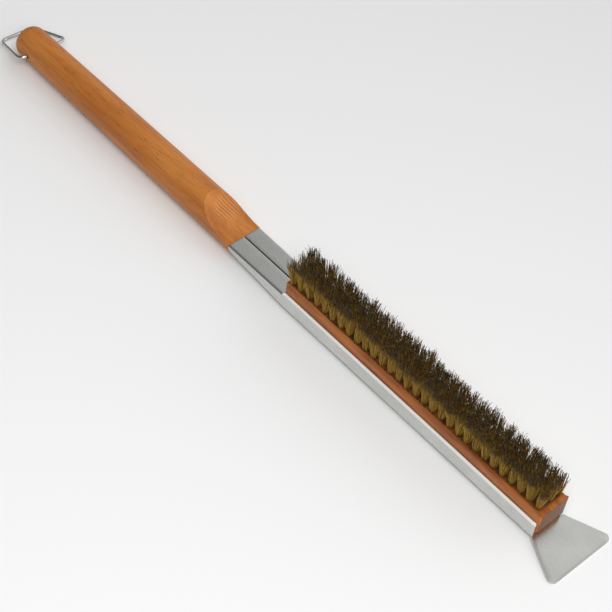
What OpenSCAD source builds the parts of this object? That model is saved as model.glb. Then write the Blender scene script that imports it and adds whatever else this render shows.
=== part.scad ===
// Long grill cleaning brush with a hanging ring and a scraper tip.
// It lies bristles up: +X runs from the handle's butt to the scraper, +Y across,
// +Z up from the surface it rests on. Millimetres.

/* [Handle] */
// Length of bare wood from the butt to the edge of the steel sleeve
handle_len = 282.5; // [240:0.5:360]
// Radius of the handle at the butt
butt_r = 14.0; // [12:0.1:15]
// Radius of the handle where it meets the sleeve
grip_r = 16.4; // [15.4:0.1:18]
// Radius of the rounding at the butt end
butt_round_r = 10.0; // [4:0.5:11]
// Length of the scooped ramp ahead of the sleeve
scoop_len = 42; // [30:1:60]
// Length of the half-round tongue inside the sleeve
tongue_len = 50; // [40:1:52]

/* [Hanging ring] */
// Thickness of the ring's wire
wire_d = 2.8; // [2:0.1:3.4]
// Distance of the cross hole from the butt
hole_from_butt = 22; // [16:0.5:30]
// Length of the ring from the cross hole to its far bar
ring_len = 44; // [38:0.5:56]
// Half of the ring's width beside the cross hole
ring_half_w = 23.4; // [20:0.1:26]
// Half of the width of the ring's far bar
ring_bar_half = 16; // [10:0.1:18]

/* [Steel] */
// Thickness of the sheet
sheet_t = 1.0; // [0.8:0.05:1.2]
// Width over the channel
channel_w = 32; // [31:0.2:40]
// Height of the channel's walls
wall_h = 17.8; // [15:0.1:22]
// Length of the folded sleeve between the handle and the channel
sleeve_len = 61.5; // [56:0.5:76]
// Length of the channel
channel_len = 267.5; // [214:0.5:334]
// Width of the seam between the two flaps
seam_w = 1.2; // [0.6:0.1:2]

/* [Scraper] */
// How far the scraper reaches past the end of the walls
scraper_len = 36; // [28:0.5:45]
// Width of the scraping edge before its corners are rounded
scraper_w = 67.6; // [56:0.2:80]
// Radius of the scraper's two corners
scraper_corner_r = 4.5; // [2:0.5:6]

/* [Brush] */
// How far behind the end of the flaps the block starts
block_setback = 1; // [0.5:0.5:8]
// Height of the block above its seat
block_h = 25.2; // [22:0.1:30]
// Number of tufts along one row
tufts_per_row = 30; // [10:1:30]
// Distance between the rows
row_gap = 9.8; // [8.5:0.1:10.5]
// Length of bristle showing above the block
bristle_len = 24; // [15:0.5:30]
// Radius of a tuft where it leaves the block
tuft_root_r = 2.25; // [1.8:0.05:2.6]
// Radius of a tuft at its tips
tuft_tip_r = 3.5; // [2.6:0.1:3.7]

/* [Hidden] */
wire_r = wire_d / 2;
fit_gap = 0.05;
part_gap = 0.1;
past = 1;
thin = 0.01;
round_fn = 96;
hull_fn = 32;
sleeve_r = grip_r + 0.1;
axis_z = sleeve_r;
ring_drop = axis_z - wire_r - fit_gap;
ring_tilt = asin(ring_drop / ring_len);
ring_reach = ring_len * cos(ring_tilt) + wire_r - hole_from_butt;
x_butt = -(handle_len + sleeve_len + channel_len + scraper_len - ring_reach) / 2;
x_hole = x_butt + hole_from_butt;
x_sleeve = x_butt + handle_len;
x_channel = x_sleeve + sleeve_len;
x_wall_end = x_channel + channel_len;
x_tip = x_wall_end + scraper_len;

// wood flat under the flaps, and the scoop that runs down to it
flap_top = axis_z + 0.2;
flat_z = flap_top - sheet_t - part_gap;
scoop_rise = axis_z + grip_r - flat_z;
scoop_r = (scoop_len * scoop_len + scoop_rise * scoop_rise) / (2 * scoop_rise);
tongue_r = sleeve_r - sheet_t - part_gap;

// channel section
floor_z = 3.2;
fold_r = 2.5;
flap_fold_r = 2.3;
half_w = channel_w / 2;
tongue_chamfer = flap_fold_r - sheet_t + 0.5;
tongue_end_half = min(tongue_r, half_w - sheet_t - 2 * part_gap);
wall_top = floor_z + wall_h;
bend_at = x_wall_end + 1.5;
scraper_root_half = half_w + 1.6;

// block seated on the channel's floor
seat_z = floor_z + sheet_t + fit_gap;
block_half = half_w - sheet_t - part_gap;
block_top = seat_z + block_h;
block_proud = 2;
x_block_end = x_wall_end + block_proud;
x_block = x_channel + block_setback;
block_len = x_block_end - x_block;
block_edge_r = 3.5;
block_foot = fold_r - sheet_t;
block_corner_r = 2;
block_undercut = 7;
tuft_end_gap = 8;
tuft_start_gap = 4.2;
tuft_pitch = (block_len - tuft_start_gap - tuft_end_gap) / (tufts_per_row - 1);
hole_depth = 13;
hole_gap = 1;
staple_t = 0.8;
staple_h = 2.2;

// screws
screw_r = 1.7;
screw_hole_r = screw_r + 0.15;
head_r = 3.4;
head_gap = 0.1;
neck_head_h = 1.0;
block_screw_len = 11.5;
neck_screw_len = 10;
block_screw_at = [0.08, 0.5, 0.92];
neck_screw_at = [0.44, 0.7];

// ---------- shared shapes ----------

// turns a shape drawn along Z so that it runs along X
module along_x(x) translate([x, 0, 0]) rotate([0, 90, 0]) children();

// stands an X-Z outline up across the whole width
module across_y(w) rotate([90, 0, 0]) linear_extrude(height = w, center = true) children();

// runs a Y-Z outline along X
module run_x(x, len) translate([x, 0, 0]) rotate([90, 0, 90])
    linear_extrude(height = len) children();

// places a child at every tuft of one row
module each_tuft(row) for (i = [0 : tufts_per_row - 1])
    translate([x_block + tuft_start_gap + i * tuft_pitch, row * row_gap, 0]) children();

// places a child at every block screw, at the level of its head
module at_block_screws() for (f = block_screw_at)
    translate([x_block + f * block_len, 0, floor_z + fit_gap]) children();

// the tapered seat of a block screw's head, running on down by a length
module countersink(down) rotate_extrude($fn = round_fn)
    polygon([[0, -down], [head_r + head_gap + down, -down], [screw_r + head_gap, head_r - screw_r],
        [0, head_r - screw_r]]);

// height of the sleeve's underside along its length
function under_z(f) = (axis_z - sleeve_r) * (1 - f) + floor_z * f;
function sleeve_x(f) = x_sleeve + f * sleeve_len;

// ---------- handle ----------

module turned_wood() rotate_extrude($fn = round_fn) {
    translate([butt_r - butt_round_r, butt_round_r]) intersection() {
        circle(r = butt_round_r, $fn = round_fn);
        translate([0, -butt_round_r]) square([butt_round_r, butt_round_r]);
    }
    square([butt_r - butt_round_r, butt_round_r]);
    polygon([[0, butt_round_r], [butt_r, butt_round_r], [grip_r, handle_len], [0, handle_len]]);
}

module tongue() intersection() {
    along_x(x_sleeve - past) translate([-axis_z, 0, 0])
        cylinder(r = tongue_r, h = tongue_len + past, $fn = round_fn);
    across_y(4 * grip_r) polygon([
        [x_sleeve - past, under_z(0) + sheet_t + part_gap],
        [sleeve_x(1), under_z(1) + sheet_t + part_gap],
        [sleeve_x(1), flat_z], [x_sleeve - past, flat_z]]);
    linear_extrude(height = 4 * grip_r) polygon([
        [x_sleeve - past, -tongue_r], [x_sleeve, -tongue_r], [sleeve_x(1), -tongue_end_half],
        [sleeve_x(1), tongue_end_half], [x_sleeve, tongue_r], [x_sleeve - past, tongue_r]]);
    run_x(x_sleeve - 2 * past, sleeve_len + 3 * past) polygon([[-tongue_r, -past],
        [tongue_r, -past], [tongue_r, flat_z - tongue_chamfer], [tongue_r - tongue_chamfer, flat_z],
        [tongue_chamfer - tongue_r, flat_z], [-tongue_r, flat_z - tongue_chamfer]]);
}

module scoop_cut() across_y(4 * grip_r) difference() {
    translate([x_sleeve - scoop_len - past, flat_z])
        square([scoop_len + tongue_len + 2 * past, 3 * grip_r]);
    difference() {
        translate([x_sleeve - scoop_len - past, flat_z]) square([scoop_len + past, 3 * grip_r]);
        translate([x_sleeve, flat_z + scoop_r]) circle(r = scoop_r, $fn = 4 * round_fn);
    }
}

module handle() color([0.78, 0.48, 0.19]) difference() {
    union() {
        difference() {
            along_x(x_butt) translate([-axis_z, 0, 0]) turned_wood();
            scoop_cut();
        }
        tongue();
    }
    translate([x_hole, 0, axis_z]) rotate([90, 0, 0])
        cylinder(r = wire_r + fit_gap, h = 4 * butt_r, center = true, $fn = round_fn);
    for (f = neck_screw_at) translate([sleeve_x(f), 0, 0])
        cylinder(r = screw_r + fit_gap, h = under_z(f) + neck_screw_len, $fn = round_fn);
}

// ---------- hanging ring ----------

ring_lean = atan((ring_half_w - ring_bar_half) / ring_len);
pivot_bend_r = 4;
bar_bend_r = 6;
pivot_turn = 90 + ring_lean;
bar_turn = 90 - ring_lean;
pivot_trim = pivot_bend_r * tan(pivot_turn / 2);
bar_trim = bar_bend_r * tan(bar_turn / 2);
leg_len = norm([ring_len, ring_half_w - ring_bar_half]);
ring_end_half = 6.5;
bend_step = 0.02;
bend_lap = 0.1;

// the bends are a hair slimmer than the straights, which reach a hair into them
module bend(r, turn) rotate_extrude(angle = turn, $fn = round_fn)
    translate([r, 0]) circle(r = wire_r - bend_step, $fn = hull_fn);
module straight(len) translate([-bend_lap, 0, 0]) rotate([0, 90, 0])
    cylinder(r = wire_r, h = len + 2 * bend_lap, $fn = hull_fn);

// one side of the ring in its own plane, the cross hole at the origin
module ring_half() {
    // end inside the cross hole, running out along -Y
    translate([0, -ring_end_half, 0]) rotate([0, 0, -90])
        straight(ring_half_w - ring_end_half - pivot_trim);
    // bend beside the handle
    translate([-pivot_bend_r, -ring_half_w + pivot_trim, 0])
        rotate([0, 0, -pivot_turn]) bend(pivot_bend_r, pivot_turn);
    // leg
    translate([0, -ring_half_w, 0]) rotate([0, 0, 180 - ring_lean])
        translate([pivot_trim, 0, 0]) straight(leg_len - pivot_trim - bar_trim);
    // bend at the far bar
    translate([-ring_len + bar_bend_r, -ring_bar_half + bar_trim, 0])
        rotate([0, 0, 180]) bend(bar_bend_r, bar_turn);
}

module hang_ring() color([0.72, 0.72, 0.70])
    translate([x_hole, 0, axis_z]) rotate([0, -ring_tilt, 0]) {
        ring_half();
        mirror([0, 1, 0]) ring_half();
        translate([-ring_len, -ring_bar_half + bar_trim, 0]) rotate([0, 0, 90])
            straight(2 * (ring_bar_half - bar_trim));
    }

// ---------- steel ----------

module sleeve_round(inset) hull() {
    for (s = [-1, 1]) translate([s * (sleeve_r - flap_fold_r), flap_top - flap_fold_r])
        circle(r = flap_fold_r - inset, $fn = hull_fn);
    intersection() {
        translate([0, axis_z]) circle(r = sleeve_r - inset, $fn = 2 * hull_fn);
        translate([-sleeve_r, axis_z - sleeve_r]) square([2 * sleeve_r, sleeve_r - flap_fold_r]);
    }
}

module sleeve_square(inset) hull() for (s = [-1, 1]) {
    translate([s * (half_w - flap_fold_r), flap_top - flap_fold_r])
        circle(r = flap_fold_r - inset, $fn = hull_fn);
    translate([s * (half_w - fold_r), floor_z + fold_r])
        circle(r = fold_r - inset, $fn = hull_fn);
}

module sleeve_skin(inset, over) hull() {
    run_x(x_sleeve - over, thin) sleeve_round(inset);
    run_x(x_channel + over, thin) sleeve_square(inset);
}

module channel_outline(inset) {
    w = half_w - inset;
    r = fold_r - inset;
    b = floor_z + inset;
    top = wall_top + (inset > 0 ? past : 0);
    translate([-w, b + r]) square([2 * w, top - b - r]);
    translate([-w + r, b]) square([2 * (w - r), 2 * r]);
    for (s = [-1, 1]) translate([s * (w - r), b + r]) circle(r = r, $fn = round_fn);
}

module channel() run_x(x_channel, channel_len) difference() {
    channel_outline(0);
    channel_outline(sheet_t);
}

// The scraper's last strip, level so that its edge lies flat on a table
edge_land = 2;
tip_half = scraper_w / 2;
flare = atan((tip_half - scraper_root_half) / (x_tip - bend_at));
tip_turn = 90 - flare;
tip_trim = scraper_corner_r * tan((180 - tip_turn) / 2);

module scraper_plan() {
    reach = x_tip - x_wall_end;
    cut = tip_half - tip_trim;
    side = [cos(flare), sin(flare)];
    mirror_pair = [-1, 1];
    for (s = mirror_pair) {
        polygon([[-fold_r, 0], [-fold_r, s * (half_w - fold_r)], [0, s * (half_w - fold_r)],
            [bend_at - x_wall_end, s * scraper_root_half],
            [reach - tip_trim * side[0], s * (tip_half - tip_trim * side[1])],
            [reach, s * cut], [reach, 0]]);
        translate([reach - scraper_corner_r, s * cut])
            circle(r = scraper_corner_r, $fn = round_fn);
    }
}

module scraper() intersection() {
    translate([x_wall_end, 0, -past]) linear_extrude(height = floor_z + sheet_t + 2 * past)
        scraper_plan();
    across_y(scraper_w + 2 * past) polygon([
        [x_wall_end - fold_r, floor_z], [bend_at, floor_z], [x_tip - edge_land, 0],
        [x_tip, 0], [x_tip, sheet_t], [x_tip - edge_land, sheet_t],
        [bend_at, floor_z + sheet_t],
        [x_wall_end - fold_r, floor_z + sheet_t]]);
}

module steel_frame() color([0.74, 0.74, 0.72]) difference() {
    union() {
        difference() {
            sleeve_skin(0, 0);
            sleeve_skin(sheet_t, past);
        }
        channel();
        scraper();
    }
    translate([x_sleeve - past, -seam_w / 2, axis_z - fold_r])
        cube([sleeve_len + past + 2 * thin, seam_w, 2 * fold_r]);
    at_block_screws() countersink(past);
    for (f = neck_screw_at) translate([sleeve_x(f), 0, -past])
        cylinder(r = screw_hole_r, h = floor_z + 2 * sheet_t + past, $fn = round_fn);
}

// ---------- brush ----------

module block_section() {
    translate([-block_half, seat_z + block_foot])
        square([2 * block_half, block_h - block_edge_r - block_foot]);
    translate([-block_half + block_edge_r, seat_z])
        square([2 * (block_half - block_edge_r), block_h]);
    polygon([[-block_half + block_foot, seat_z], [block_half - block_foot, seat_z],
        [block_half, seat_z + block_foot], [block_half, seat_z + 2 * block_foot],
        [-block_half, seat_z + 2 * block_foot], [-block_half, seat_z + block_foot]]);
    for (s = [-1, 1]) translate([s * (block_half - block_edge_r), block_top - block_edge_r])
        circle(r = block_edge_r, $fn = round_fn);
}

module block_plan() {
    translate([x_block + block_corner_r, -block_half])
        square([block_len - 2 * block_corner_r, 2 * block_half]);
    translate([x_block, -block_half + block_corner_r])
        square([block_len, 2 * (block_half - block_corner_r)]);
    for (x = [x_block + block_corner_r, x_block_end - block_corner_r])
        for (s = [-1, 1]) translate([x, s * (block_half - block_corner_r)])
            circle(r = block_corner_r, $fn = round_fn);
}

module end_undercut(x, s) translate([x, 0, 0]) across_y(4 * half_w)
    polygon([[s * past, seat_z - past], [s * past, seat_z + block_undercut + past],
        [-s * (block_undercut + past), seat_z - past]]);

module brush_block() color([0.62, 0.34, 0.14]) difference() {
    intersection() {
        run_x(x_block - past, block_len + 2 * past) block_section();
        translate([0, 0, seat_z - past]) linear_extrude(height = block_h + 2 * past) block_plan();
    }
    end_undercut(x_block_end, 1);
    end_undercut(x_block, -1);
    for (row = [-1 : 1]) each_tuft(row) translate([0, 0, block_top - hole_depth])
        cylinder(r = tuft_root_r + fit_gap, h = hole_depth + past, $fn = hull_fn);
    at_block_screws() {
        countersink(0);
        cylinder(r = screw_r + fit_gap, h = block_screw_len + fit_gap, $fn = round_fn);
    }
}

module bristle_row(row) color([0.47, 0.37, 0.13]) each_tuft(row) difference() {
    translate([0, 0, block_top]) {
        translate([0, 0, -hole_depth + fit_gap])
            cylinder(r = tuft_root_r, h = hole_depth, $fn = hull_fn);
        cylinder(r1 = tuft_root_r, r2 = tuft_tip_r, h = bristle_len, $fn = hull_fn);
    }
    translate([0, 0, block_top - hole_depth + hole_gap + staple_h / 2])
        cube([staple_t + 2 * fit_gap, 2 * tuft_root_r + past, staple_h + 2 * fit_gap],
            center = true);
}

module bristle_row_left() bristle_row(1);
module bristle_row_middle() bristle_row(0);
module bristle_row_right() bristle_row(-1);

module tuft_staples() color([0.6, 0.6, 0.6]) for (row = [-1 : 1]) each_tuft(row)
    translate([0, 0, block_top - hole_depth + hole_gap + staple_h / 2])
        cube([staple_t, 2 * (tuft_root_r - fit_gap), staple_h], center = true);

// ---------- screws ----------

module pan_screw(len, head_h) {
    cylinder(r = screw_r, h = len, $fn = round_fn);
    translate([0, 0, -head_h]) cylinder(r1 = head_r - head_h / 2, r2 = head_r, h = head_h,
        $fn = round_fn);
}

module block_screws() color([0.7, 0.7, 0.7]) at_block_screws() {
    cylinder(r = screw_r, h = block_screw_len, $fn = round_fn);
    cylinder(r1 = head_r, r2 = screw_r, h = head_r - screw_r, $fn = round_fn);
}

// each head sits just clear of the sleeve's sloping underside
module sleeve_screws() color([0.7, 0.7, 0.7]) for (f = neck_screw_at)
    translate([sleeve_x(f), 0, under_z(f) - head_r * floor_z / sleeve_len - fit_gap])
        pan_screw(neck_screw_len - past, neck_head_h);

handle();
hang_ring();
steel_frame();
brush_block();
bristle_row_left();
bristle_row_middle();
bristle_row_right();
tuft_staples();
block_screws();
sleeve_screws();
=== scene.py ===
import math

import bpy
import numpy as np
from mathutils import Matrix, Vector


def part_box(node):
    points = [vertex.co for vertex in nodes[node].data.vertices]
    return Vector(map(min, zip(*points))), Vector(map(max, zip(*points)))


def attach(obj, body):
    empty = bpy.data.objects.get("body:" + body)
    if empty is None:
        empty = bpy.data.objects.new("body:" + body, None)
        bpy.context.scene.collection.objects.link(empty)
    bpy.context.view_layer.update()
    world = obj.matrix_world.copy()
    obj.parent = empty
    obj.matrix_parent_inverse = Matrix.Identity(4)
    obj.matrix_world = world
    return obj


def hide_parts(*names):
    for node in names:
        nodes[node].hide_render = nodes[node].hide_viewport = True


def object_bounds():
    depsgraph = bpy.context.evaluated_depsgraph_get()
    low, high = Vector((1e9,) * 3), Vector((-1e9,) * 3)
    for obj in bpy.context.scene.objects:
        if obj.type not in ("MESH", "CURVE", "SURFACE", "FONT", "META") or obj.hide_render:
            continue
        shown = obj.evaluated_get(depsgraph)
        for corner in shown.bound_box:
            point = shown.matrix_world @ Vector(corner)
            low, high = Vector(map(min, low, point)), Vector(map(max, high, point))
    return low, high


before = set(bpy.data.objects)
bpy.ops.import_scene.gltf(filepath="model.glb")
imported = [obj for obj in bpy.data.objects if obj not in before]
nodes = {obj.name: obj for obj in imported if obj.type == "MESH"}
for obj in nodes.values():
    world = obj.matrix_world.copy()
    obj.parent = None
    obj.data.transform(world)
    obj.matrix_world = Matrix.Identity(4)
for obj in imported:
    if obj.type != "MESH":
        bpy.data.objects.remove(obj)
cad_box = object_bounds()

# ---------- Studio ----------
# The brush lies bristles up on a white table. A big soft light hangs beside the
# camera and the room's glow is strongest behind the brush on the scraper's side.
# The table isn't part of the brush.
TABLE_SIZE = 6.0
TABLE_WHITE = (0.93, 0.93, 0.93, 1)
GLOW_TOWARDS = (0.634, 0.692, 0.346)
GLOW = ((0.42, 0.16), (0.66, 0.50), (0.80, 0.80), (1.0, 1.10))
KEY_FROM_CAMERA = Vector((0.1, 0.05, 0.35))
KEY_SIZE = 0.9
KEY_POWER = 16
CAMERA_AT = Vector((0.64745, -0.71023, 1.0923))
CAMERA_RIGHT = Vector((0.66788, 0.73619, 0.10937))
CAMERA_UP = Vector((-0.61343, 0.46128, 0.64103))
CAMERA_LENS = 110.05
CAMERA_SENSOR = 36


def let_go():
    """Leaves edit mode and lets go of everything that is held."""
    if bpy.context.object and bpy.context.object.mode == "EDIT":
        bpy.ops.object.mode_set(mode="OBJECT")
    bpy.ops.object.select_all(action="DESELECT")


def hold(piece):
    """Takes hold of one piece alone."""
    let_go()
    piece.select_set(True)
    bpy.context.view_layer.objects.active = piece


def new_material(name):
    """An empty node material with its surface shader and output joined."""
    material = bpy.data.materials.new(name)
    material.use_nodes = True
    tree = material.node_tree
    tree.nodes.clear()
    output = tree.nodes.new("ShaderNodeOutputMaterial")
    shader = tree.nodes.new("ShaderNodeBsdfPrincipled")
    tree.links.new(shader.outputs["BSDF"], output.inputs["Surface"])
    return material, tree, shader


def pattern(tree, kind, scale, stretch=(1, 1, 1), turn=(0, 0, 0), **settings):
    """A procedural texture on object coordinates, drawn out by stretch and turned."""
    place = tree.nodes.new("ShaderNodeTexCoord")
    mapping = tree.nodes.new("ShaderNodeMapping")
    mapping.inputs["Scale"].default_value = stretch
    mapping.inputs["Rotation"].default_value = turn
    texture = tree.nodes.new(kind)
    texture.inputs["Scale"].default_value = scale
    for key, value in settings.items():
        texture.inputs[key].default_value = value
    tree.links.new(place.outputs["Object"], mapping.inputs["Vector"])
    tree.links.new(mapping.outputs["Vector"], texture.inputs["Vector"])
    return texture


def ramp(tree, source, stops):
    """Turns a value into the colours given at its stops."""
    node = tree.nodes.new("ShaderNodeValToRGB")
    node.color_ramp.elements[0].position = stops[0][0]
    node.color_ramp.elements[0].color = stops[0][1]
    node.color_ramp.elements[1].position = stops[-1][0]
    node.color_ramp.elements[1].color = stops[-1][1]
    for at, colour in stops[1:-1]:
        node.color_ramp.elements.new(at).color = colour
    tree.links.new(source, node.inputs["Fac"])
    return node


def mix(tree, factor, first, second, blend="MIX"):
    """Mixes two colours; each of the three may be a socket or a value."""
    node = tree.nodes.new("ShaderNodeMix")
    node.data_type = "RGBA"
    node.blend_type = blend
    for socket, value in ((0, factor), (6, first), (7, second)):
        if isinstance(value, bpy.types.NodeSocket):
            tree.links.new(value, node.inputs[socket])
        else:
            node.inputs[socket].default_value = value
    return node.outputs[2]


def grey(level):
    """A plain grey as a colour value."""
    return (level, level, level, 1)


def relief(tree, shader, height, strength, depth):
    """Raises the surface by a texture, as fine as the finish needs."""
    bump = tree.nodes.new("ShaderNodeBump")
    bump.inputs["Strength"].default_value = strength
    bump.inputs["Distance"].default_value = depth
    tree.links.new(height, bump.inputs["Height"])
    tree.links.new(bump.outputs["Normal"], shader.inputs["Normal"])
    return bump


def own_place(tree):
    """The object's own coordinates, whole and split into X, Y and Z."""
    place = tree.nodes.new("ShaderNodeTexCoord")
    split = tree.nodes.new("ShaderNodeSeparateXYZ")
    tree.links.new(place.outputs["Object"], split.inputs["Vector"])
    return place.outputs["Object"], split.outputs


def fade(tree, source, start, end, full=1.0):
    """A mask that grows from nothing at start to full at end."""
    node = tree.nodes.new("ShaderNodeMapRange")
    node.inputs["From Min"].default_value = start
    node.inputs["From Max"].default_value = end
    node.inputs["To Max"].default_value = full
    tree.links.new(source, node.inputs["Value"])
    return node.outputs["Result"]


let_go()
bpy.ops.mesh.primitive_plane_add(size=TABLE_SIZE, location=(0, 0, 0))
table = bpy.context.object
table.name = "table"
table_paint, tree, shader = new_material("white_table")
shader.inputs["Base Color"].default_value = TABLE_WHITE
shader.inputs["Roughness"].default_value = 0.9
shader.inputs["Specular IOR Level"].default_value = 0.0
table.data.materials.append(table_paint)

world = bpy.data.worlds.new("soft_room")
world.use_nodes = True
room = world.node_tree
way = room.nodes.new("ShaderNodeTexCoord")
along = room.nodes.new("ShaderNodeVectorMath")
along.operation = "DOT_PRODUCT"
along.inputs[1].default_value = GLOW_TOWARDS
half = room.nodes.new("ShaderNodeMath")
half.operation = "MULTIPLY_ADD"
half.inputs[1].default_value = 0.5
half.inputs[2].default_value = 0.5
room.links.new(way.outputs["Generated"], along.inputs[0])
room.links.new(along.outputs["Value"], half.inputs[0])
glow = ramp(room, half.outputs["Value"], [(at, grey(level)) for at, level in GLOW])
room.links.new(glow.outputs["Color"], room.nodes["Background"].inputs["Color"])
bpy.context.scene.world = world


def soft_light(name, at, towards, size, power):
    """A square soft box aimed at a point."""
    data = bpy.data.lights.new(name, "AREA")
    data.shape = "SQUARE"
    data.size = size
    data.energy = power
    light = bpy.data.objects.new(name, data)
    light.location = at
    light.rotation_euler = (Vector(towards) - Vector(at)).to_track_quat("-Z", "Y").to_euler()
    bpy.context.scene.collection.objects.link(light)


soft_light("key", CAMERA_AT + KEY_FROM_CAMERA, (0, 0, 0), KEY_SIZE, KEY_POWER)

camera_back = CAMERA_RIGHT.cross(CAMERA_UP)
camera = bpy.data.objects.new("camera", bpy.data.cameras.new("camera"))
camera.data.lens = CAMERA_LENS
camera.data.sensor_width = CAMERA_SENSOR
camera.matrix_world = Matrix((
    (CAMERA_RIGHT.x, CAMERA_UP.x, camera_back.x, CAMERA_AT.x),
    (CAMERA_RIGHT.y, CAMERA_UP.y, camera_back.y, CAMERA_AT.y),
    (CAMERA_RIGHT.z, CAMERA_UP.z, camera_back.z, CAMERA_AT.z),
    (0, 0, 0, 1)))
bpy.context.scene.collection.objects.link(camera)
bpy.context.scene.camera = camera
bpy.context.scene.view_settings.view_transform = "Standard"

# ---------- Handle ----------
# A turned hardwood handle, a little thicker towards the steel, with a domed
# butt. Its top is scooped down to a flat where the steel flaps lie on it, and
# the half-round tongue below the flat is pushed into the steel sleeve.
BUTT_R = 0.014
GRIP_R = 0.0164
BUTT_ROUND = 0.010
SCOOP_LEN = 0.042
FLAT_Z = 0.0156
TONGUE_R = 0.0153
TONGUE_LEN = 0.048
TONGUE_END_HALF_W = 0.0145
TONGUE_END_HALF_H = 0.0120
HOLE_R = 0.0022
HANDLE_LEN = 0.2825
HOLE_FROM_BUTT = 0.022
RIDGE_HEIGHT = 0.00035
handle_low, handle_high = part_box("handle")
x_butt = handle_low.x
axis_z = handle_low.z + GRIP_R
x_hole = x_butt + HOLE_FROM_BUTT
x_sleeve = x_butt + HANDLE_LEN


def cut_away(piece, cutter):
    """Cuts the cutter's shape out of a piece and puts the cutter away."""
    hold(piece)
    tool = piece.modifiers.new("cut", "BOOLEAN")
    tool.operation = "DIFFERENCE"
    tool.solver = "EXACT"
    tool.object = cutter
    bpy.ops.object.modifier_apply(modifier=tool.name)
    bpy.data.objects.remove(cutter)


def bent_grid(name, columns, rows, place):
    """A flat grid of sheet whose every point (0 to 1 both ways) goes to its place."""
    let_go()
    bpy.ops.mesh.primitive_grid_add(x_subdivisions=columns, y_subdivisions=rows, size=1)
    piece = bpy.context.object
    piece.name = name
    for vertex in piece.data.vertices:
        vertex.co = place(vertex.co.x + 0.5, vertex.co.y + 0.5)
    piece.data.update()
    return piece


def turned(name, stations, sides):
    """A solid of round or oval stations (x, half width, half height, middle z)."""
    let_go()
    x, half_y, half_z, z = stations[0]
    bpy.ops.mesh.primitive_circle_add(
        vertices=sides, radius=half_y, location=(x, 0, z), rotation=(0, math.pi / 2, 0))
    piece = bpy.context.object
    piece.name = name
    bpy.ops.object.transform_apply(location=True, rotation=True, scale=True)
    bpy.ops.object.mode_set(mode="EDIT")
    bpy.ops.mesh.select_all(action="SELECT")
    bpy.ops.mesh.edge_face_add()
    bpy.ops.mesh.select_all(action="SELECT")
    for before, after in zip(stations, stations[1:]):
        bpy.ops.mesh.extrude_region_move(
            TRANSFORM_OT_translate={"value": (after[0] - before[0], 0, after[3] - before[3])})
        bpy.ops.transform.resize(
            value=(1, after[1] / before[1], after[2] / before[2]),
            center_override=(after[0], 0, after[3]))
    bpy.ops.mesh.select_all(action="SELECT")
    bpy.ops.mesh.remove_doubles(threshold=0.000001)
    bpy.ops.mesh.normals_make_consistent(inside=False)
    bpy.ops.object.mode_set(mode="OBJECT")
    return piece


stations = []
DOME_STEPS = 12
TAPER_STEPS = 24
for step in range(DOME_STEPS + 1):
    turn = math.pi / 2 * step / DOME_STEPS
    reach = BUTT_ROUND * (1 - math.cos(turn))
    radius = BUTT_R - BUTT_ROUND + BUTT_ROUND * math.sin(turn)
    stations.append((x_butt + reach, radius, radius, axis_z))
for step in range(1, TAPER_STEPS + 1):
    share = step / TAPER_STEPS
    radius = BUTT_R + (GRIP_R - BUTT_R) * share
    x = x_butt + BUTT_ROUND + (x_sleeve - x_butt - BUTT_ROUND) * share
    stations.append((x, radius, radius, axis_z))
stations.append((x_sleeve + 0.0001, TONGUE_R, TONGUE_R, axis_z))
stations.append((x_sleeve + TONGUE_LEN, TONGUE_END_HALF_W, TONGUE_END_HALF_H, axis_z))
handle = turned("handle_wood", stations, 128)

scoop_rise = axis_z + GRIP_R - FLAT_Z
scoop_r = (SCOOP_LEN ** 2 + scoop_rise ** 2) / (2 * scoop_rise)
SCOOP_BACK = 0.006
CUTTER_HALF = 0.022
RIDGE_PITCH = 0.0026
RIDGE_SLANT = 0.30


def scoop_floor(along, across):
    """Where the wood is cut: the ramp's curve, then the flat, with gouge ridges."""
    x = x_sleeve - SCOOP_LEN - SCOOP_BACK + along * (SCOOP_LEN + SCOOP_BACK + 0.060)
    y = (across - 0.5) * 2 * CUTTER_HALF
    back = max(0.0, x_sleeve - x)
    z = FLAT_Z + scoop_r - math.sqrt(max(0.0, scoop_r ** 2 - back ** 2))
    share = (x - (x_sleeve - SCOOP_LEN)) / SCOOP_LEN
    lane = (y + (x - x_sleeve + SCOOP_LEN) * RIDGE_SLANT - 0.002) / RIDGE_PITCH
    window = max(0.0, 1 - abs((share - 0.42) / 0.36)) ** 0.6
    window *= max(0.0, 1 - abs(lane - 2.2) / 3.6) ** 0.5
    ridge = abs(math.sin(math.pi * lane)) ** 3
    wander = 0.6 + 0.4 * math.sin(share * 23 + lane)
    return Vector((x, y, z + RIDGE_HEIGHT * ridge * window * wander))


scoop_cutter = bent_grid("scoop_cutter", 110, 150, scoop_floor)
hold(scoop_cutter)
bpy.ops.object.mode_set(mode="EDIT")
bpy.ops.mesh.select_all(action="SELECT")
bpy.ops.mesh.extrude_region_move(TRANSFORM_OT_translate={"value": (0, 0, 0.05)})
bpy.ops.mesh.select_all(action="SELECT")
bpy.ops.mesh.normals_make_consistent(inside=False)
let_go()
cut_away(handle, scoop_cutter)

bpy.ops.mesh.primitive_cylinder_add(
    vertices=32, radius=HOLE_R, depth=0.06, location=(x_hole, 0, axis_z),
    rotation=(math.pi / 2, 0, 0))
cut_away(handle, bpy.context.object)
hold(handle)
bpy.ops.object.shade_smooth_by_angle(angle=math.radians(32))

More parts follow.
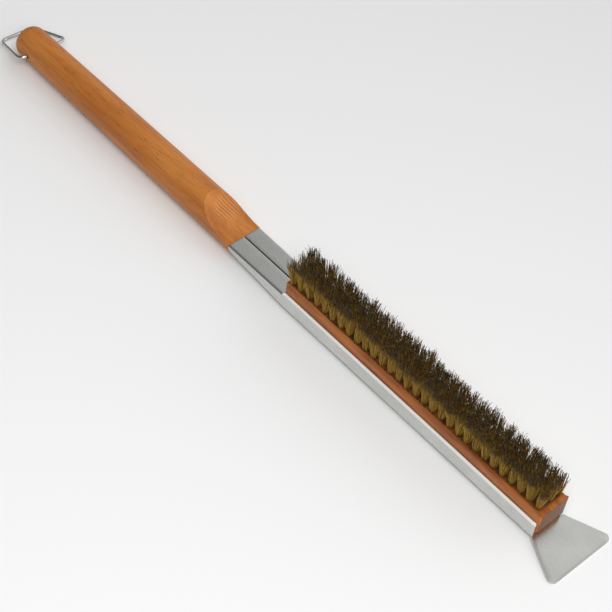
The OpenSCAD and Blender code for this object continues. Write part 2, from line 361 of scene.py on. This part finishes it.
handle_finish, tree, shader = new_material("handle_beech")
HANDLE_WOOD = (0.56, 0.19, 0.033, 1)
HANDLE_LIGHT = (0.70, 0.28, 0.060, 1)
HANDLE_DARK = (0.40, 0.115, 0.016, 1)
HANDLE_PORE = (0.24, 0.062, 0.010, 1)
# painted highlight: pale colour for the lit gouge ridges in the scoop
HANDLE_RIDGE_HIGHLIGHT = (0.78, 0.40, 0.14, 1)
# painted shade: near black for the wood inside the steel sleeve
HANDLE_SLEEVE_SHADE = (0.05, 0.018, 0.006, 1)
broad = pattern(tree, "ShaderNodeTexNoise", 60, (0.10, 1, 1), Detail=4, Roughness=0.55)
fine = pattern(tree, "ShaderNodeTexNoise", 900, (0.04, 1, 1), Detail=5, Roughness=0.6)
pores = pattern(tree, "ShaderNodeTexNoise", 1500, (0.07, 1, 1), Detail=2, Roughness=0.5)
broad_tone = ramp(tree, broad.outputs["Fac"], [
    (0.30, HANDLE_DARK), (0.50, HANDLE_WOOD), (0.72, HANDLE_LIGHT)])
fine_tone = ramp(tree, fine.outputs["Fac"], [(0.30, grey(0.70)), (0.60, grey(1.0))])
pore_mask = ramp(tree, pores.outputs["Fac"], [(0.64, grey(0)), (0.72, grey(1))])
grain = mix(tree, 0.75, broad_tone.outputs["Color"], fine_tone.outputs["Color"], "MULTIPLY")
toned = mix(tree, pore_mask.outputs["Color"], grain, HANDLE_PORE)
gouges = pattern(
    tree, "ShaderNodeTexWave", 2 * math.pi / (20 * RIDGE_PITCH),
    turn=(0, 0, -math.atan(RIDGE_SLANT)), Distortion=1.5)
gouges.bands_direction = "Y"
gouges.inputs["Detail Scale"].default_value = 0.6
ridge_highlight_lines = ramp(tree, gouges.outputs["Fac"], [(0.72, grey(0)), (0.92, grey(1))])
# painted highlight: the gouge ridges are coloured as pale, lit wood in a round patch in the middle of
# the ramp
PATCH_CENTRE = (x_sleeve - 0.0265, 0.0035, axis_z + 0.007)
PATCH_R = 0.0125
PATCH_CORE_R = 0.0070
PATCH_FULL = 0.55
wood_place, wood_axes = own_place(tree)
near = tree.nodes.new("ShaderNodeVectorMath")
near.operation = "DISTANCE"
near.inputs[1].default_value = PATCH_CENTRE
tree.links.new(wood_place, near.inputs[0])
patch = fade(tree, near.outputs["Value"], PATCH_R, PATCH_CORE_R, PATCH_FULL)
ridge_highlight_mask = mix(tree, 1.0, patch, ridge_highlight_lines.outputs["Color"], "MULTIPLY")
ridge_highlighted = mix(tree, ridge_highlight_mask, toned, HANDLE_RIDGE_HIGHLIGHT)
# painted shade: the wood inside the steel sleeve is coloured near black
sleeve_shade_mask = fade(tree, wood_axes["X"], x_sleeve, x_sleeve + 0.001)
shaded = mix(tree, sleeve_shade_mask, ridge_highlighted, HANDLE_SLEEVE_SHADE)
tree.links.new(shaded, shader.inputs["Base Color"])
shader.inputs["Roughness"].default_value = 0.5
shader.inputs["Specular IOR Level"].default_value = 0.35
shader.inputs["Coat Weight"].default_value = 0.08
shader.inputs["Coat Roughness"].default_value = 0.35
relief(tree, shader, fine.outputs["Fac"], 0.25, 0.0003)
handle.data.materials.append(handle_finish)
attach(handle, "brush")
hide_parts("handle")

# ---------- Hanging ring ----------
# One length of bright steel wire, bent to a wide flat loop. Its two ends turn
# inwards and sit loose in the cross hole, a little skewed, so that it swings.
WIRE_R = 0.0014
RING_LEN = 0.0428
RING_HALF = 0.0234
BAR_HALF = 0.0160
RING_END = 0.0065
RING_LIFT = math.radians(1.0)
RING_PLAY = 0.0025
RING_SKEW = math.radians(-3.9)
RING_ROLL = math.radians(-1.5)
BEND_RADII = [0.0055, 0.0075, 0.0075, 0.0055]
TABLE_GAP = 0.00005
ring_tilt = math.asin((axis_z - WIRE_R - TABLE_GAP) / RING_LEN)


def rounded_path(corners, radii, steps):
    """The points of a path through corners, each rounded by its own radius."""
    points = [corners[0]]
    for before, corner, after, radius in zip(corners, corners[1:], corners[2:], radii):
        to_before = (before - corner).normalized()
        to_after = (after - corner).normalized()
        half = to_before.angle(to_after) / 2
        trim = radius / math.tan(half)
        centre = corner + (to_before + to_after).normalized() * (radius / math.sin(half))
        start = corner + to_before * trim - centre
        end = corner + to_after * trim - centre
        whole = start.angle(end)
        for step in range(steps + 1):
            share = step / steps
            arm = (start * math.sin((1 - share) * whole) + end * math.sin(share * whole))
            points.append(centre + arm / math.sin(whole))
    points.append(corners[-1])
    return points


def bent_wire(name, points, radius, sides):
    """A round wire that follows the points, with closed ends, as a mesh."""
    curve = bpy.data.curves.new(name, "CURVE")
    curve.dimensions = "3D"
    curve.bevel_depth = radius
    curve.bevel_resolution = sides // 4
    curve.use_fill_caps = True
    line = curve.splines.new("POLY")
    line.points.add(len(points) - 1)
    for point, place in zip(line.points, points):
        point.co = (place.x, place.y, place.z, 1)
    piece = bpy.data.objects.new(name, curve)
    bpy.context.scene.collection.objects.link(piece)
    hold(piece)
    bpy.ops.object.convert(target="MESH")
    piece = bpy.context.object
    bpy.ops.object.mode_set(mode="EDIT")
    bpy.ops.mesh.select_all(action="SELECT")
    bpy.ops.mesh.remove_doubles(threshold=0.000001)
    bpy.ops.mesh.normals_make_consistent(inside=False)
    bpy.ops.object.mode_set(mode="OBJECT")
    bpy.ops.object.shade_smooth_by_angle(angle=math.radians(40))
    return piece


ring_corners = [
    Vector((0, -RING_END, 0)), Vector((0, -RING_HALF, 0)), Vector((-RING_LEN, -BAR_HALF, 0)),
    Vector((-RING_LEN, BAR_HALF, 0)), Vector((0, RING_HALF, 0)), Vector((0, RING_END, 0))]
ring_flat = rounded_path(ring_corners, BEND_RADII, 12)
ring_turn = (Matrix.Translation((x_hole, 0, axis_z)) @ Matrix.Rotation(RING_ROLL, 4, "X")
             @ Matrix.Rotation(-ring_tilt + RING_LIFT, 4, "Y")
             @ Matrix.Rotation(RING_SKEW, 4, "Z") @ Matrix.Translation((0, RING_PLAY, 0)))
ring = bent_wire("hanging_ring", [ring_turn @ point for point in ring_flat], WIRE_R, 24)

ring_finish, tree, shader = new_material("bright_wire")
smudge = pattern(tree, "ShaderNodeTexNoise", 220, Detail=4, Roughness=0.6)
tone = ramp(tree, smudge.outputs["Fac"], [(0.35, grey(0.50)), (0.65, grey(0.66))])
tree.links.new(tone.outputs["Color"], shader.inputs["Base Color"])
gloss = ramp(tree, smudge.outputs["Fac"], [(0.3, grey(0.30)), (0.7, grey(0.18))])
tree.links.new(gloss.outputs["Color"], shader.inputs["Roughness"])
shader.inputs["Metallic"].default_value = 1.0
drawn = pattern(tree, "ShaderNodeTexNoise", 2600, Detail=2, Roughness=0.5)
relief(tree, shader, drawn.outputs["Fac"], 0.15, 0.00005)
ring.data.materials.append(ring_finish)
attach(ring, "ring")
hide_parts("hang_ring")

# ---------- Steel frame ----------
# One blank of thin stainless sheet. It is folded round the handle's tongue as
# a sleeve with two flaps that meet at a seam, runs on as a deep channel, and
# ends past the channel's walls in a flared scraper, bent a little downwards.
SHEET = 0.001
HALF_W = 0.016
FLOOR_Z = 0.0032
WALL_TOP = 0.021
FLAP_TOP = 0.0167
FOLD_R = 0.0025
FLAP_FOLD_R = 0.0023
SLEEVE_R = 0.0165
SLEEVE_LEN = 0.0615
CHANNEL_LEN = 0.2675
SEAM_HALF = 0.0006
ROOT_HALF = 0.0176
TIP_HALF = 0.0338
TIP_CORNER = 0.0045
LAND = 0.002
STEP_LEN = 0.0035
END_ROUND = 0.0022
BEND_FROM_WALL = 0.0015
ROOT_REACH = 0.0030
ROOT_SWELL = 0.0042
# painted reflection: the sheet above this height is coloured near white
WALL_HIGHLIGHT_FROM = 0.0169
WALL_HIGHLIGHT = (0.90, 0.90, 0.885, 1)
x_channel = x_sleeve + SLEEVE_LEN
x_wall_end = x_channel + CHANNEL_LEN
x_bend = x_wall_end + BEND_FROM_WALL
x_tip = cad_box[1].x


def arc(centre_y, centre_z, radius, start, end, steps):
    """Points of an arc in the cross section, angles in degrees from +Y."""
    turns = [math.radians(start + (end - start) * k / steps) for k in range(steps + 1)]
    return [(centre_y + radius * math.cos(a), centre_z + radius * math.sin(a)) for a in turns]


def line(first, last, steps):
    """Points between two places, the first one left out."""
    return [(first[0] + (last[0] - first[0]) * k / steps,
             first[1] + (last[1] - first[1]) * k / steps) for k in range(1, steps + 1)]


# the half of each section at -Y, from the seam down to the middle of the floor
round_half = [(-SEAM_HALF, FLAP_TOP)]
round_half += line(round_half[-1], (-(SLEEVE_R - FLAP_FOLD_R), FLAP_TOP), 4)[:-1]
round_half += arc(-(SLEEVE_R - FLAP_FOLD_R), FLAP_TOP - FLAP_FOLD_R, FLAP_FOLD_R, 90, 180, 8)
round_half += arc(0, axis_z, SLEEVE_R, 189, 270, 19)
square_half = [(-SEAM_HALF, FLAP_TOP)]
square_half += line(square_half[-1], (-(HALF_W - FLAP_FOLD_R), FLAP_TOP), 4)[:-1]
square_half += arc(-(HALF_W - FLAP_FOLD_R), FLAP_TOP - FLAP_FOLD_R, FLAP_FOLD_R, 90, 180, 8)
wall_low = line(square_half[-1], (-HALF_W, FLOOR_Z + FOLD_R), 6)[:-1]
fold = arc(-(HALF_W - FOLD_R), FLOOR_Z + FOLD_R, FOLD_R, 180, 270, 8)
floor_half = line(fold[-1], (0, FLOOR_Z), 6)
square_half += wall_low + fold + floor_half


def whole(half):
    """A whole section from its half at -Y."""
    return half + [(-y, z) for y, z in reversed(half[:-1])]


round_section = whole(round_half)
square_section = whole(square_half)
section_points = len(round_section)


def sleeve_place(along, across):
    """A point of the sleeve, whose section goes from round to square along it."""
    k = round(across * (section_points - 1))
    y = round_section[k][0] * (1 - along) + square_section[k][0] * along
    z = round_section[k][1] * (1 - along) + square_section[k][1] * along
    return Vector((x_sleeve + along * SLEEVE_LEN, y, z))


sleeve = bent_grid("sleeve_sheet", 40, section_points - 1, sleeve_place)

# the channel: its wall grows from the fold's foot to full height over a short curve
FOLD_FOOT = FLAP_TOP - FLAP_FOLD_R
channel_half = line((-HALF_W, 1.0), (-HALF_W, 0.0), 5)
wall_rows = 5
channel_low = [(-HALF_W, FOLD_FOOT)] + wall_low + fold + floor_half
channel_low = whole(channel_low)
channel_points = len(channel_low) + 2 * wall_rows
channel_x = [0.0, 0.0004, 0.0009, 0.0014, 0.0019, 0.0024, 0.0029, STEP_LEN]
plain_len = CHANNEL_LEN - STEP_LEN - END_ROUND
channel_x += [STEP_LEN + plain_len * k / 36 for k in range(1, 37)]
end_x_steps = (0.0006, 0.0011, 0.0015, 0.0018, 0.0020, END_ROUND)
channel_x += [CHANNEL_LEN - END_ROUND + step for step in end_x_steps]


def wall_height(x):
    """Height of the wall's top edge at a distance along the channel."""
    if x < STEP_LEN:
        share = x / STEP_LEN
        return FLAP_TOP + (WALL_TOP - FLAP_TOP) * math.sin(share * math.pi / 2) ** 1.4
    left = CHANNEL_LEN - x
    if left < END_ROUND:
        return WALL_TOP - END_ROUND + math.sqrt(END_ROUND ** 2 - (END_ROUND - left) ** 2)
    return WALL_TOP


def channel_place(along, across):
    """A point of the channel, with its wall's rows above the fold's foot."""
    x = channel_x[round(along * (len(channel_x) - 1))]
    k = round(across * (channel_points - 1))
    mirror = 1
    if k > channel_points - 1 - k:
        k = channel_points - 1 - k
        mirror = -1
    if k < wall_rows:
        top = wall_height(x)
        y, z = -HALF_W, top + (FOLD_FOOT - top) * k / wall_rows
    else:
        y, z = channel_low[k - wall_rows]
    return Vector((x_channel + x, mirror * y, z))


channel = bent_grid("channel_sheet", len(channel_x) - 1, channel_points - 1, channel_place)

# the scraper: root fillet, bend, flare and rounded corners
flare = math.atan((TIP_HALF - ROOT_HALF) / (x_tip - x_bend))
corner_turn = math.pi / 2 + flare
corner_trim = TIP_CORNER * math.tan(corner_turn / 2)
corner_x = x_tip - 0.0001 - TIP_CORNER
corner_y = TIP_HALF - corner_trim
scraper_line = []
for step in range(7):
    turn = math.pi / 2 * step / 6
    scraper_line.append((x_wall_end + ROOT_REACH * (1 - math.cos(turn)),
                         HALF_W - FOLD_R + ROOT_SWELL * math.sin(turn)))
start_x, start_y = scraper_line[-1]
arc_start = (corner_x - TIP_CORNER * math.sin(flare), corner_y + TIP_CORNER * math.cos(flare))
for step in range(1, 17):
    share = step / 16
    scraper_line.append((start_x + (arc_start[0] - start_x) * share,
                         start_y + (arc_start[1] - start_y) * share))
for step in range(1, 13):
    turn = math.pi / 2 + flare - corner_turn * step / 12
    scraper_line.append((corner_x + TIP_CORNER * math.cos(turn),
                         corner_y + TIP_CORNER * math.sin(turn)))


def scraper_drop(x):
    """How far the scraper has bent down, eased in over the bend."""
    run = x - x_wall_end
    ease = 0.003
    slope = FLOOR_Z / (x_tip - LAND - x_bend)
    if run < ease:
        return slope * run * run / (2 * ease)
    return min(slope * (run - ease / 2), FLOOR_Z)


def scraper_place(along, across):
    """A point of the scraper, across the width it has there."""
    x, half = scraper_line[round(along * (len(scraper_line) - 1))]
    return Vector((x, half * (2 * across - 1), FLOOR_Z - scraper_drop(x)))


scraper = bent_grid("scraper_sheet", len(scraper_line) - 1, 2 * len(floor_half), scraper_place)

let_go()
for part in (sleeve, channel, scraper):
    part.select_set(True)
bpy.context.view_layer.objects.active = channel
bpy.ops.object.join()
steel = bpy.context.object
steel.name = "steel_channel"
bpy.ops.object.mode_set(mode="EDIT")
bpy.ops.mesh.select_all(action="SELECT")
bpy.ops.mesh.remove_doubles(threshold=0.00002)
bpy.ops.mesh.normals_make_consistent(inside=False)
bpy.ops.object.mode_set(mode="OBJECT")
floor_faces = [f for f in steel.data.polygons
               if abs(f.center.z - FLOOR_Z) < 0.0001 and x_channel < f.center.x < x_wall_end]
if floor_faces[0].normal.z > 0:
    steel.data.flip_normals()
thick = steel.modifiers.new("thickness", "SOLIDIFY")
thick.thickness = SHEET
thick.offset = -1
thick.use_even_offset = True
bpy.ops.object.modifier_apply(modifier=thick.name)
soft_edge = steel.modifiers.new("edge", "BEVEL")
soft_edge.width = 0.00018
soft_edge.segments = 2
soft_edge.limit_method = "ANGLE"
soft_edge.angle_limit = math.radians(50)
bpy.ops.object.modifier_apply(modifier=soft_edge.name)
bpy.ops.object.shade_smooth_by_angle(angle=math.radians(35))

# the tapered seats of the three screws in the channel's floor
SEAT_R = 0.0037
SEAT_DEPTH = 0.0022
SEAT_BELOW = 0.0002
HEAD_R = 0.0034
screw_low, screw_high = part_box("block_screws")
for share in (0, 0.5, 1):
    let_go()
    x = screw_low.x + HEAD_R + (screw_high.x - screw_low.x - 2 * HEAD_R) * share
    bpy.ops.mesh.primitive_cone_add(
        vertices=48, radius1=SEAT_R, radius2=SEAT_R - SEAT_DEPTH, depth=SEAT_DEPTH,
        location=(x, 0, FLOOR_Z - SEAT_BELOW + SEAT_DEPTH / 2))
    cut_away(steel, bpy.context.object)
hold(steel)
bpy.ops.object.shade_smooth_by_angle(angle=math.radians(35))

steel_finish, tree, shader = new_material("satin_steel")
cloud = pattern(tree, "ShaderNodeTexNoise", 35, Detail=3, Roughness=0.5)
rolled = pattern(tree, "ShaderNodeTexNoise", 1800, (0.02, 1, 1), Detail=3, Roughness=0.6)
tone = ramp(tree, cloud.outputs["Fac"], [(0.3, (0.60, 0.60, 0.575, 1)), (0.7, (0.68, 0.68, 0.66, 1))])
streak = ramp(tree, rolled.outputs["Fac"], [(0.3, grey(0.92)), (0.7, grey(1.0))])
steel_tone = mix(tree, 0.8, tone.outputs["Color"], streak.outputs["Color"], "MULTIPLY")
steel_axes = own_place(tree)[1]
# painted reflection: the walls' upper strip, above 16.9 mm, is coloured near white as if it reflected
# bright light
wall_highlight_band = fade(tree, steel_axes["Z"], WALL_HIGHLIGHT_FROM, WALL_HIGHLIGHT_FROM + 0.0008)
wall_highlighted = mix(tree, wall_highlight_band, steel_tone, WALL_HIGHLIGHT)
tree.links.new(wall_highlighted, shader.inputs["Base Color"])
gloss = ramp(tree, rolled.outputs["Fac"], [(0.3, grey(0.30)), (0.7, grey(0.24))])
tree.links.new(gloss.outputs["Color"], shader.inputs["Roughness"])
shader.inputs["Metallic"].default_value = 1.0
relief(tree, shader, rolled.outputs["Fac"], 0.12, 0.00004)
steel.data.materials.append(steel_finish)
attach(steel, "brush")
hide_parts("steel_frame")

# ---------- Brush block ----------
# A stained hardwood block pressed down into the channel. Its upper edges are
# rounded and its ends are undercut at the foot. The ninety tuft holes in its
# top are left out, because the tufts fill them.
BLOCK_EDGE = 0.0035
BLOCK_CORNER = 0.003
BLOCK_FOOT = 0.0015
UNDERCUT = 0.007
WORN_EDGE = 0.0009
block_low, block_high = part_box("brush_block")
block_top = block_high.z
let_go()
block_size = block_high - block_low
bpy.ops.mesh.primitive_cube_add(size=1, location=(block_low + block_high) / 2, scale=block_size)
block = bpy.context.object
block.name = "brush_block_wood"
bpy.ops.object.transform_apply(location=True, rotation=True, scale=True)


def held_edges(piece, wanted):
    """Selects the edges whose middle and direction pass the test."""
    bpy.ops.object.mode_set(mode="EDIT")
    bpy.ops.mesh.select_mode(type="EDGE")
    bpy.ops.mesh.select_all(action="DESELECT")
    bpy.ops.object.mode_set(mode="OBJECT")
    for edge in piece.data.edges:
        first, second = (piece.data.vertices[k].co for k in edge.vertices)
        edge.select = wanted((first + second) / 2, (second - first).normalized())
    bpy.ops.object.mode_set(mode="EDIT")


# the slanting cuts at the foot of both ends
for end_x, side in ((block_high.x, 1), (block_low.x, -1)):
    bpy.ops.object.mode_set(mode="EDIT")
    bpy.ops.mesh.select_all(action="SELECT")
    bpy.ops.mesh.bisect(
        plane_co=(end_x, 0, block_low.z + UNDERCUT), plane_no=(side, 0, -1),
        use_fill=True, clear_outer=True)
    bpy.ops.object.mode_set(mode="OBJECT")
held_edges(block, lambda at, way: abs(way.z) > 0.9 and at.z > block_low.z + UNDERCUT)
bpy.ops.mesh.bevel(offset=BLOCK_CORNER, segments=5, affect="EDGES")
bpy.ops.object.mode_set(mode="OBJECT")
held_edges(block, lambda at, way: abs(at.z - block_top) < 0.0001 and abs(way.x) > 0.9)
bpy.ops.mesh.bevel(offset=BLOCK_EDGE, segments=8, affect="EDGES")
bpy.ops.object.mode_set(mode="OBJECT")
held_edges(block, lambda at, way: abs(at.z - block_low.z) < 0.0001 and abs(way.x) > 0.9)
bpy.ops.mesh.bevel(offset=BLOCK_FOOT, segments=2, affect="EDGES")
bpy.ops.object.mode_set(mode="OBJECT")
rounding = block.modifiers.new("worn_edges", "BEVEL")
rounding.width = WORN_EDGE
rounding.segments = 3
rounding.limit_method = "ANGLE"
rounding.angle_limit = math.radians(40)
bpy.ops.object.modifier_apply(modifier=rounding.name)
bpy.ops.object.mode_set(mode="EDIT")
bpy.ops.mesh.select_all(action="SELECT")
bpy.ops.mesh.remove_doubles(threshold=0.000005)
bpy.ops.mesh.normals_make_consistent(inside=False)
bpy.ops.object.mode_set(mode="OBJECT")
bpy.ops.object.shade_smooth_by_angle(angle=math.radians(35))

block_finish, tree, shader = new_material("stained_block_with_tuft_shade")
BLOCK_WOOD = (0.42, 0.115, 0.008, 1)
BLOCK_LIGHT = (0.60, 0.200, 0.026, 1)
BLOCK_DARK = (0.22, 0.050, 0.003, 1)
END_GRAIN = (0.16, 0.060, 0.020, 1)
# painted shade: near black for the block's top among the tufts
TUFT_BED_SHADE = (0.040, 0.012, 0.002, 1)
broad = pattern(tree, "ShaderNodeTexNoise", 90, (0.12, 1, 1), Detail=4, Roughness=0.6)
fine = pattern(tree, "ShaderNodeTexNoise", 1100, (0.05, 1, 1), Detail=4, Roughness=0.6)
tone = ramp(tree, broad.outputs["Fac"], [
    (0.30, BLOCK_DARK), (0.5, BLOCK_WOOD), (0.70, BLOCK_LIGHT)])
thread = ramp(tree, fine.outputs["Fac"], [(0.3, grey(0.6)), (0.6, grey(1))])
grain = mix(tree, 0.8, tone.outputs["Color"], thread.outputs["Color"], "MULTIPLY")
block_axes = own_place(tree)[1]
# painted shade: the top of the block under and between the tufts, short of the end by the scraper, is
# coloured near black, broken up by noise
on_top = fade(tree, block_axes["Z"], block_top - 0.0012, block_top - 0.0002)
blotch = pattern(tree, "ShaderNodeTexNoise", 420, Detail=3, Roughness=0.6)
blotch_tone = ramp(tree, blotch.outputs["Fac"], [(0.35, grey(0.35)), (0.6, grey(1))])
across = tree.nodes.new("ShaderNodeMath")
across.operation = "ABSOLUTE"
tree.links.new(block_axes["Y"], across.inputs[0])
inside = fade(tree, across.outputs["Value"], 0.0135, 0.0118)
before_end = fade(tree, block_axes["X"], block_high.x - 0.0035, block_high.x - 0.0060)
field = mix(tree, 1.0, inside, before_end, "MULTIPLY")
field = mix(tree, 1.0, field, on_top, "MULTIPLY")
tuft_shade_mask = mix(tree, 1.0, field, blotch_tone.outputs["Color"], "MULTIPLY")
sawn = fade(tree, block_axes["X"], block_high.x - 0.0006, block_high.x - 0.0002)
speck = pattern(tree, "ShaderNodeTexNoise", 1400, Detail=3, Roughness=0.7)
speck_tone = ramp(tree, speck.outputs["Fac"], [(0.35, grey(0.5)), (0.65, grey(1.5))])
end_wood = mix(tree, 1.0, END_GRAIN, speck_tone.outputs["Color"], "MULTIPLY")
sided = mix(tree, sawn, grain, end_wood)
tuft_shaded = mix(tree, tuft_shade_mask, sided, TUFT_BED_SHADE)
tree.links.new(tuft_shaded, shader.inputs["Base Color"])
shader.inputs["Roughness"].default_value = 0.5
shader.inputs["Coat Weight"].default_value = 0.12
shader.inputs["Coat Roughness"].default_value = 0.35
relief(tree, shader, fine.outputs["Fac"], 0.3, 0.0003)
block.data.materials.append(block_finish)
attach(block, "brush")
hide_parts("brush_block")

# ---------- Bristle tufts ----------
# Three rows of thirty tufts of fine crimped brass wire. Each real tuft is folded
# over a staple at the bottom of its hole and fans out towards its ragged,
# darkened tips. The tufts at the two ends lean outwards over the block.
TUFTS = 30
ROW_GAP = 0.0098
ROWS = (
    ("bristle_row_left", ROW_GAP), ("bristle_row_middle", 0.0), ("bristle_row_right", -ROW_GAP))
WIRES = 95
WIRE_RINGS = 9
BRISTLE_R = 0.00017
ROOT_SPREAD = 0.0022
TIP_SPREAD = 0.0052
SUNK = 0.0015
SHORTEST = 0.0185
CRIMP = 0.00028
tuft_low, tuft_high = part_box("bristle_row_middle")
TUFT_TIP_R = 0.0035
TIP_CLEAR = 0.0002
x_first = tuft_low.x + TUFT_TIP_R
x_last = tuft_high.x - TUFT_TIP_R
longest = tuft_high.z - block_top - TIP_CLEAR
chance = np.random.default_rng(411)

brass, tree, shader = new_material("darkened_brass_wire")
tuft_axes = own_place(tree)[1]
height = fade(tree, tuft_axes["Z"], block_top, tuft_high.z)
wander = pattern(tree, "ShaderNodeTexNoise", 260, Detail=2, Roughness=0.5)
shift = tree.nodes.new("ShaderNodeMath")
shift.operation = "MULTIPLY_ADD"
shift.inputs[1].default_value = 0.25
tree.links.new(wander.outputs["Fac"], shift.inputs[0])
tree.links.new(height, shift.inputs[2])
# painted shade: the wires are coloured dark near the block, where the tufts crowd together; higher up
# they are gold, and towards the tips they darken to brown and grey-brown
root_shade_and_tip_tone = ramp(tree, shift.outputs["Value"], [
    (0.10, (0.16, 0.080, 0.010, 1)), (0.26, (0.52, 0.310, 0.038, 1)),
    (0.80, (0.48, 0.285, 0.040, 1)), (0.93, (0.110, 0.068, 0.024, 1)),
    (1.0, (0.065, 0.050, 0.035, 1))])
shade = tree.nodes.new("ShaderNodeAttribute")
shade.attribute_name = "wire_shade"
varied = mix(tree, 1.0, root_shade_and_tip_tone.outputs["Color"], shade.outputs["Color"], "MULTIPLY")
tree.links.new(varied, shader.inputs["Base Color"])
shader.inputs["Metallic"].default_value = 0.55
shader.inputs["Roughness"].default_value = 0.45

RING_TURNS = np.arange(3) * 2 * math.pi / 3


def tuft_wires(x, y, lean_x, lean_y, spread):
    """Centre lines of one tuft's wires, from below the block's top to the tips."""
    turn = chance.uniform(0, 2 * math.pi, WIRES)
    out = np.sqrt(chance.uniform(0, 1, WIRES))
    length = chance.uniform(SHORTEST, longest, WIRES) * (1 - 0.06 * out)
    stray = chance.normal(0, 0.045, (WIRES, 2))
    wave_turn = chance.uniform(0, 2 * math.pi, WIRES)
    wave_phase = chance.uniform(0, 2 * math.pi, WIRES)
    wave_pitch = chance.uniform(0.0036, 0.0052, WIRES)
    up = np.linspace(0, 1, WIRE_RINGS)[None, :]
    fan = ROOT_SPREAD + (spread - ROOT_SPREAD) * up ** 0.85
    rise = -SUNK + (length[:, None] + SUNK) * up
    wave = CRIMP * np.sin(wave_phase[:, None] + 2 * math.pi * rise / wave_pitch[:, None]) * up ** 0.3
    px = x + fan * (out * np.cos(turn))[:, None] + rise * up * (lean_x + stray[:, :1])
    py = y + fan * (out * np.sin(turn))[:, None] + rise * up * (lean_y + stray[:, 1:])
    px = px + wave * np.cos(wave_turn)[:, None]
    py = py + wave * np.sin(wave_turn)[:, None]
    return np.stack([px, py, block_top + rise], axis=2)


for node_name, row_y in ROWS:
    lines = []
    for k in range(TUFTS):
        x = x_first + (x_last - x_first) * k / (TUFTS - 1)
        lean_x, lean_y = chance.normal(0, 0.035, 2)
        if k < 3:
            lean_x -= 0.10 * (3 - k) / 3
        if k == TUFTS - 1:
            lean_x += 0.10 if row_y > 0 else 0.02
        lines.append(tuft_wires(x, row_y, lean_x, lean_y, TIP_SPREAD * chance.uniform(0.9, 1.1)))
    centres = np.concatenate(lines)
    count = len(centres)
    ring_xy = np.stack([np.cos(RING_TURNS), np.sin(RING_TURNS), np.zeros(3)], axis=1) * BRISTLE_R
    points = (centres[:, :, None, :] + ring_xy[None, None, :, :]).reshape(-1, 3)
    wire = np.arange(count)[:, None, None] * WIRE_RINGS * 3
    level = np.arange(WIRE_RINGS - 1)[None, :, None] * 3
    side = np.arange(3)[None, None, :]
    turned_side = (side + 1) % 3
    sides = np.stack([wire + level + side, wire + level + turned_side,
                      wire + level + 3 + turned_side, wire + level + 3 + side], axis=3)
    first_ring = np.arange(count) * WIRE_RINGS * 3
    last_ring = first_ring + (WIRE_RINGS - 1) * 3
    caps = [(int(a) + 2, int(a) + 1, int(a)) for a in first_ring]
    caps += [(int(a), int(a) + 1, int(a) + 2) for a in last_ring]
    mesh = bpy.data.meshes.new(node_name + "_wires")
    mesh.from_pydata(points.tolist(), [], sides.reshape(-1, 4).tolist() + caps)
    tones = np.repeat(chance.uniform(0.55, 1.25, count), WIRE_RINGS * 3)
    layer = mesh.attributes.new("wire_shade", "FLOAT_COLOR", "POINT")
    layer.data.foreach_set("color", np.stack([tones, tones, tones, np.ones_like(tones)], 1).ravel())
    mesh.update()
    row = bpy.data.objects.new(node_name + "_wires", mesh)
    bpy.context.scene.collection.objects.link(row)
    hold(row)
    bpy.ops.object.shade_smooth()
    row.data.materials.append(brass)
    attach(row, "brush")
    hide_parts(node_name)

# ---------- Staples and screws ----------
# Steel staples hold the tufts at the bottom of their holes. Three countersunk
# screws hold the block from under the channel and two pan-head screws hold the
# sleeve to the handle's tongue.
fastening, tree, shader = new_material("zinc_steel")
spots = pattern(tree, "ShaderNodeTexNoise", 900, Detail=3, Roughness=0.6)
tone = ramp(tree, spots.outputs["Fac"], [(0.3, grey(0.38)), (0.7, grey(0.55))])
tree.links.new(tone.outputs["Color"], shader.inputs["Base Color"])
shader.inputs["Metallic"].default_value = 1.0
shader.inputs["Roughness"].default_value = 0.38
relief(tree, shader, spots.outputs["Fac"], 0.1, 0.00005)
for name in ("tuft_staples", "block_screws", "sleeve_screws"):
    mesh = nodes[name].data
    if len(mesh.materials):
        for k in range(len(mesh.materials)):
            mesh.materials[k] = fastening
    else:
        mesh.materials.append(fastening)
